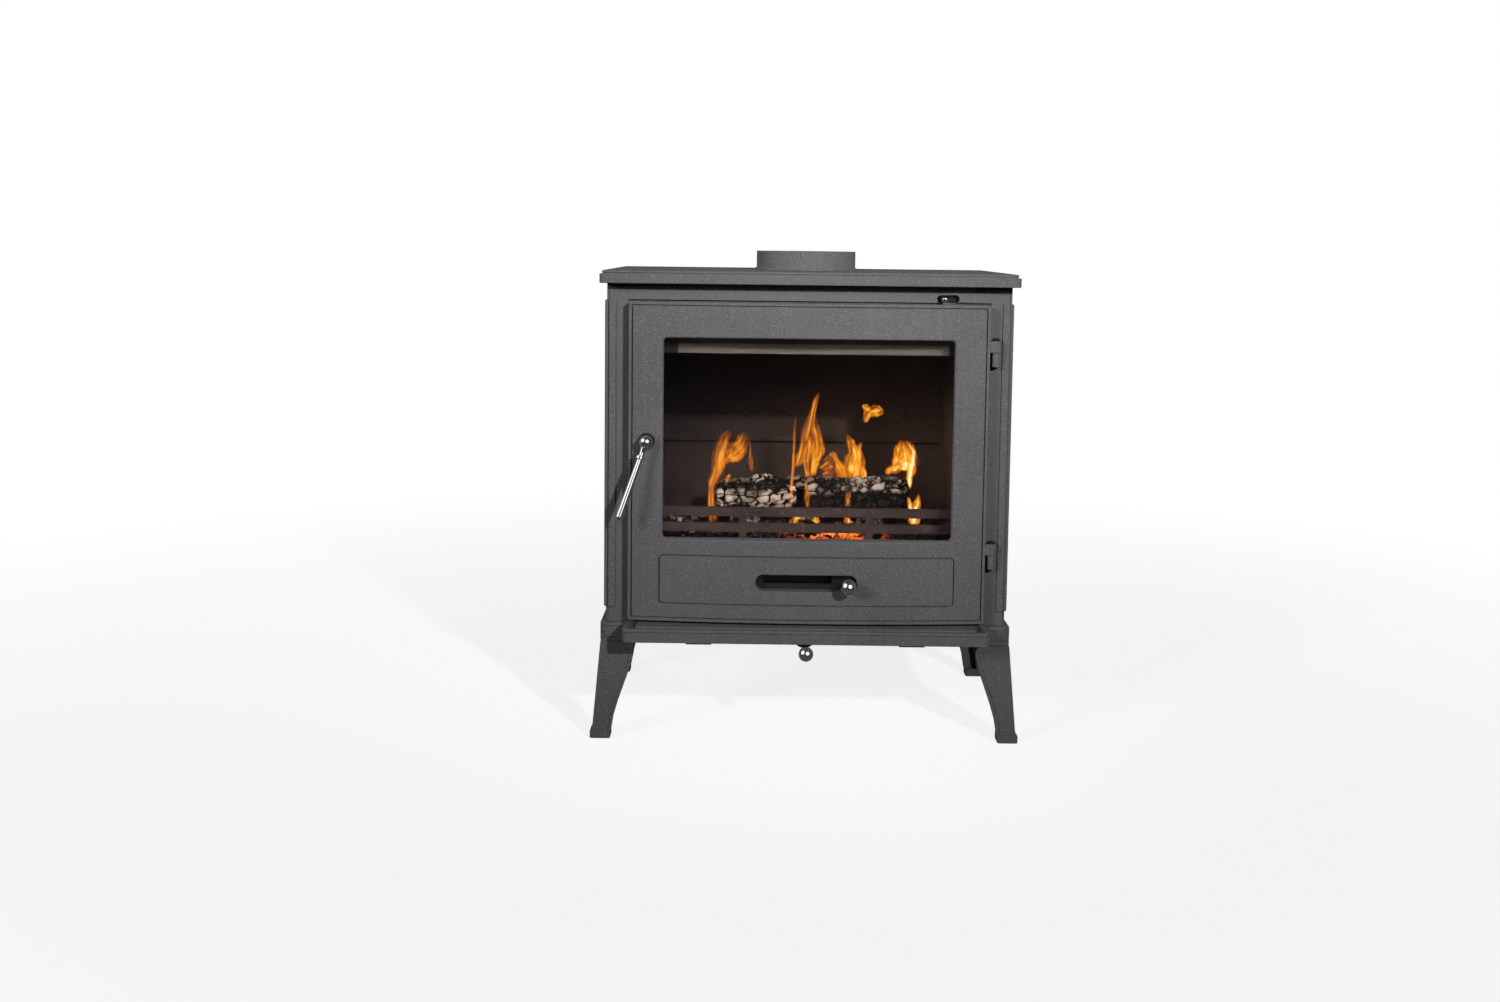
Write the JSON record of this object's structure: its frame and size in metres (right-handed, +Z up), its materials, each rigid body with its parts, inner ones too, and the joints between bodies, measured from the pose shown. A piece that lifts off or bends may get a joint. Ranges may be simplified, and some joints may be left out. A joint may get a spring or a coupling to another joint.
{
  "type": "cast iron wood stove",
  "caption": "Free-standing cast iron wood stove on splayed legs, with a bowed glass door, lever handle, air slides, riddling grate, ash pan and top flue collar.",
  "frame": {"origin": "on the floor, under the middle of the whole stove's box", "axes": "+Z up, -Y out of the door, +X to the right of someone facing the door, where the hinges are"},
  "size_m": [0.608, 0.4492, 0.692],
  "materials": {
    "stove_paint": "sand-cast iron in matt charcoal heat paint with a fine pale fleck",
    "bare_iron": "bare cast iron, sooted by the fire",
    "firebrick": "pressed vermiculite board, smoke stained",
    "dark_steel": "folded or turned steel, blackened",
    "zinc_steel": "zinc plated fasteners and shafts",
    "chrome": "polished chrome plate",
    "fire_glass": "flat ceramic glass",
    "seal_rope": "black knitted glass fibre rope and tape"
  },
  "bodies": {
    "stove": {"base_plate": "stove_paint", "ash_lip": "stove_paint", "lip_bolts": "zinc_steel", "front_frame": "stove_paint", "left_side": "stove_paint", "right_side": "stove_paint", "rear_panel": "stove_paint", "top_plate": "stove_paint", "flue_collar": "stove_paint", "collar_bolts": "zinc_steel", "leg_front_left": "stove_paint", "leg_front_right": "stove_paint", "leg_rear_left": "stove_paint", "leg_rear_right": "stove_paint", "leg_bolts": "zinc_steel", "tie_rods": "zinc_steel", "tie_rod_nuts": "zinc_steel", "grate_shelf": "bare_iron", "fire_grate": "bare_iron", "brick_left": "firebrick", "brick_right": "firebrick", "brick_rear_lower": "firebrick", "brick_rear_upper": "firebrick", "throat_plate": "firebrick", "log_guard": "bare_iron", "ash_pan": "dark_steel", "airwash_duct": "dark_steel", "duct_screws": "zinc_steel", "airwash_rails": "dark_steel", "riddle_guides": "dark_steel", "riddle_guide_bolts": "zinc_steel", "hinge_pins": "dark_steel", "latch_keeper": "dark_steel", "keeper_screws": "zinc_steel"},
    "door": {"door_casting": "stove_paint", "door_rope": "seal_rope", "glass_gasket": "seal_rope", "door_glass": "fire_glass", "glass_clips": "dark_steel", "clip_screws": "zinc_steel", "slide_rails": "dark_steel", "rail_screws": "zinc_steel", "handle_bush": "dark_steel"},
    "handle": {"handle_spindle": "zinc_steel", "handle_lever": "chrome", "handle_grip": "chrome", "latch_tongue": "zinc_steel", "latch_nut": "zinc_steel"},
    "primary_air": {"air_slide": "dark_steel", "air_knob": "chrome"},
    "airwash": {"airwash_slide": "dark_steel", "airwash_knob": "chrome"},
    "riddle": {"riddle_rod": "dark_steel", "riddle_knob": "chrome", "riddle_arm": "dark_steel", "riddle_plate": "bare_iron"}
  },
  "joints": [
    {"name": "door_hinge", "type": "hinge", "parent": "stove", "child": "door", "pos_m": [0.26, -0.1555, 0.4], "axis": [0, 0, 1], "range_deg": [0, 110]},
    {"name": "handle_turn", "type": "hinge", "parent": "door", "child": "handle", "pos_m": [-0.225, -0.1465, 0.4269], "axis": [0, 1, 0], "range_deg": [-38, 60]},
    {"name": "primary_air_slide", "type": "slide", "parent": "door", "child": "primary_air", "axis": [1, 0, 0], "range_m": [-0.116, 0]},
    {"name": "airwash_slide", "type": "slide", "parent": "stove", "child": "airwash", "axis": [1, 0, 0], "range_m": [0, 0.012]},
    {"name": "riddle_pull", "type": "slide", "parent": "stove", "child": "riddle", "axis": [0, -1, 0], "range_m": [0, 0.036]}
  ]
}
